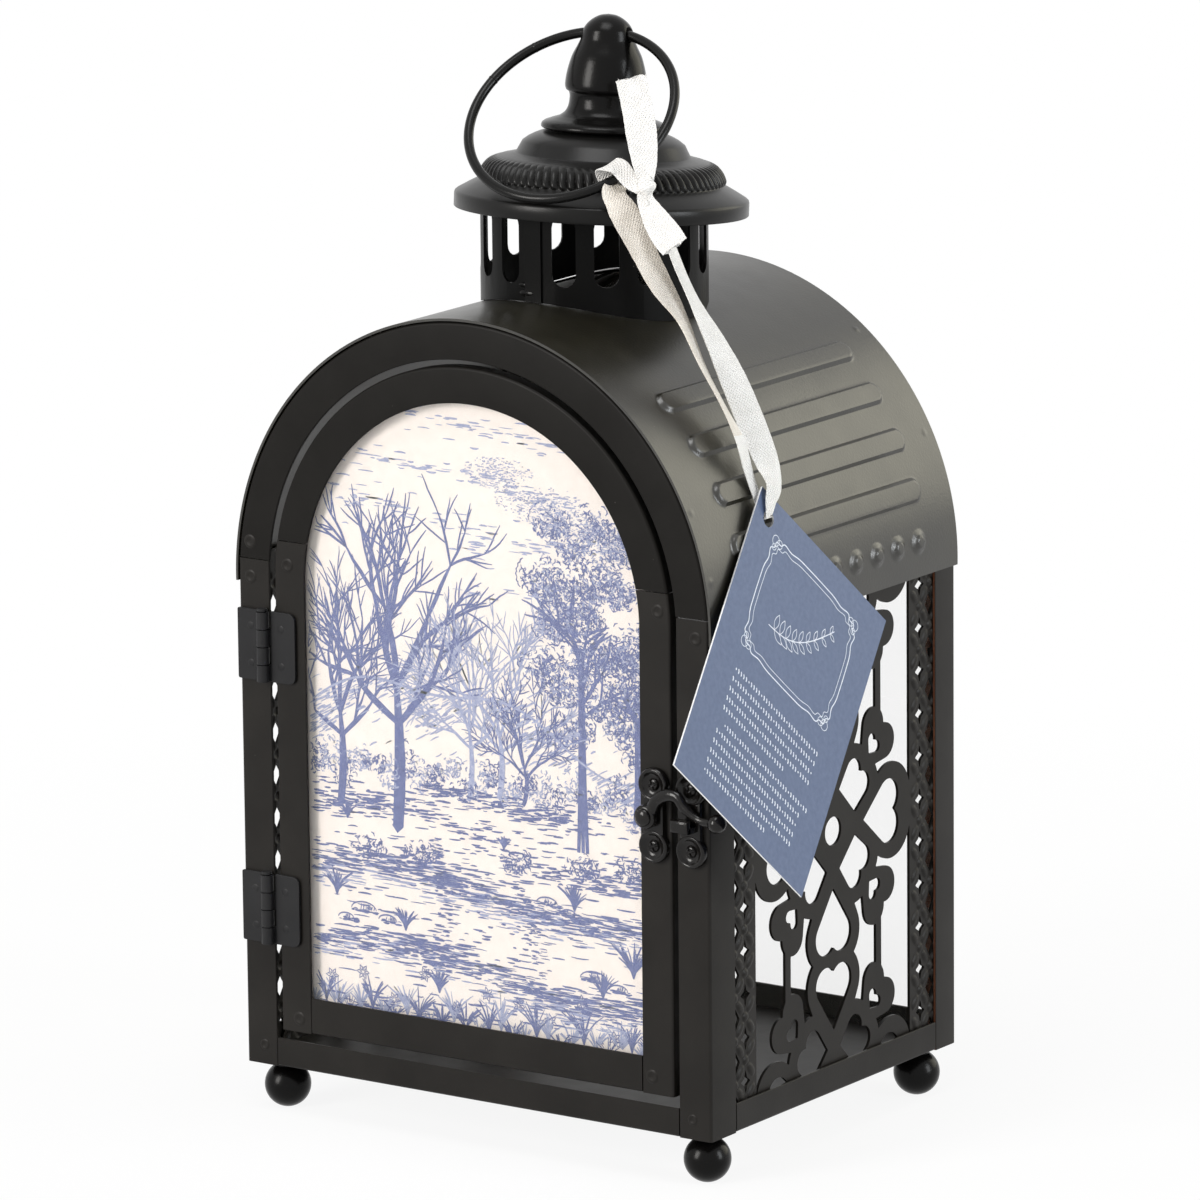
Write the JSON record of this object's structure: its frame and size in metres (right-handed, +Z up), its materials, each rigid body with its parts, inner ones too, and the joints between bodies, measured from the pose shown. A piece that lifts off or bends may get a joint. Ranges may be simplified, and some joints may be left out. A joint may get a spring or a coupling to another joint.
{
  "type": "hanging candle lantern",
  "caption": "Black steel candle lantern with an arched glazed door, die-cut side panels, a barrel roof with a slotted chimney, a carrying ring and a swing tag.",
  "frame": {"origin": "on the floor under the middle of the box round the lantern without its tag, 2.6 mm to the right of the chimney's axis and 3.2 mm in front of it", "axes": "+Z up, the door faces -Y with its hinges at -X and its latch at +X"},
  "size_m": [0.1766, 0.1528, 0.3023],
  "materials": {
    "black_steel": "black paint, semi-gloss",
    "cast_black": "black paint over cast metal, glossy",
    "black_wire": "black paint, glossy",
    "clear_glass": "clear, polished",
    "printed_liner": "blue line print on cream, matte",
    "tag_card": "matte blue card",
    "cotton_tape": "woven cotton, matte",
    "zinc_steel": "zinc plated"
  },
  "bodies": {
    "lantern_body": {"front_left_post": "black_steel", "front_right_post": "black_steel", "rear_left_post": "black_steel", "rear_right_post": "black_steel", "front_rail": "black_steel", "rear_rail": "black_steel", "left_rail": "black_steel", "right_rail": "black_steel", "base_plate": "black_steel", "front_arch": "black_steel", "rear_arch": "black_steel", "roof": "black_steel", "chimney": "black_steel", "cap": "black_steel", "front_left_foot": "black_steel", "front_right_foot": "black_steel", "rear_left_foot": "black_steel", "rear_right_foot": "black_steel", "right_side_panel": "black_steel", "left_side_panel": "black_steel", "rear_lower_right_clip": "black_steel", "rear_lower_left_clip": "black_steel", "rear_upper_right_clip": "black_steel", "rear_upper_left_clip": "black_steel", "finial": "cast_black", "finial_nut": "zinc_steel", "rear_glass": "clear_glass", "lower_hinge_frame_leaf": "cast_black", "lower_hinge_pin": "cast_black", "upper_hinge_frame_leaf": "cast_black", "upper_hinge_pin": "cast_black", "latch_catch": "cast_black"},
    "door_leaf": {"door_left_stile": "black_steel", "door_right_stile": "black_steel", "door_arch": "black_steel", "door_bottom_rail": "black_steel", "door_glass": "clear_glass", "door_print": "printed_liner", "door_lower_right_clip": "black_steel", "door_lower_left_clip": "black_steel", "door_upper_right_clip": "black_steel", "door_upper_left_clip": "black_steel", "lower_hinge_door_leaf": "cast_black", "upper_hinge_door_leaf": "cast_black", "latch_plate": "cast_black"},
    "hook": {"latch_hook": "cast_black"},
    "ring": {"carrying_ring": "black_wire", "tape_knot": "cotton_tape"},
    "hung_tag": {"tag": "tag_card", "tag_tape": "cotton_tape"}
  },
  "joints": [
    {"name": "door_hinge", "type": "hinge", "parent": "lantern_body", "child": "door_leaf", "pos_m": [-0.07043, -0.0592, 0.1], "axis": [0, 0, -1], "range_deg": [0, 175]},
    {"name": "latch_pivot", "type": "hinge", "parent": "door_leaf", "child": "hook", "pos_m": [0.05637, -0.06067, 0.1013], "axis": [0, -1, 0], "range_deg": [0, 100]},
    {"name": "ring_swing", "type": "hinge", "parent": "lantern_body", "child": "ring", "pos_m": [-0.00123, 0.00865, 0.29708], "axis": [-0.9921, -0.1249, 0.0105], "range_deg": [0, 135]},
    {"name": "tape_turn", "type": "hinge", "parent": "ring", "child": "hung_tag", "pos_m": [0.02342, -0.02531, 0.26321], "axis": [-0.9921, -0.1249, 0.0105], "range_deg": [-135.5, 0]}
  ],
  "couplings": [
    {"joint": "tape_turn", "follows": "ring_swing", "ratio": -1}
  ]
}
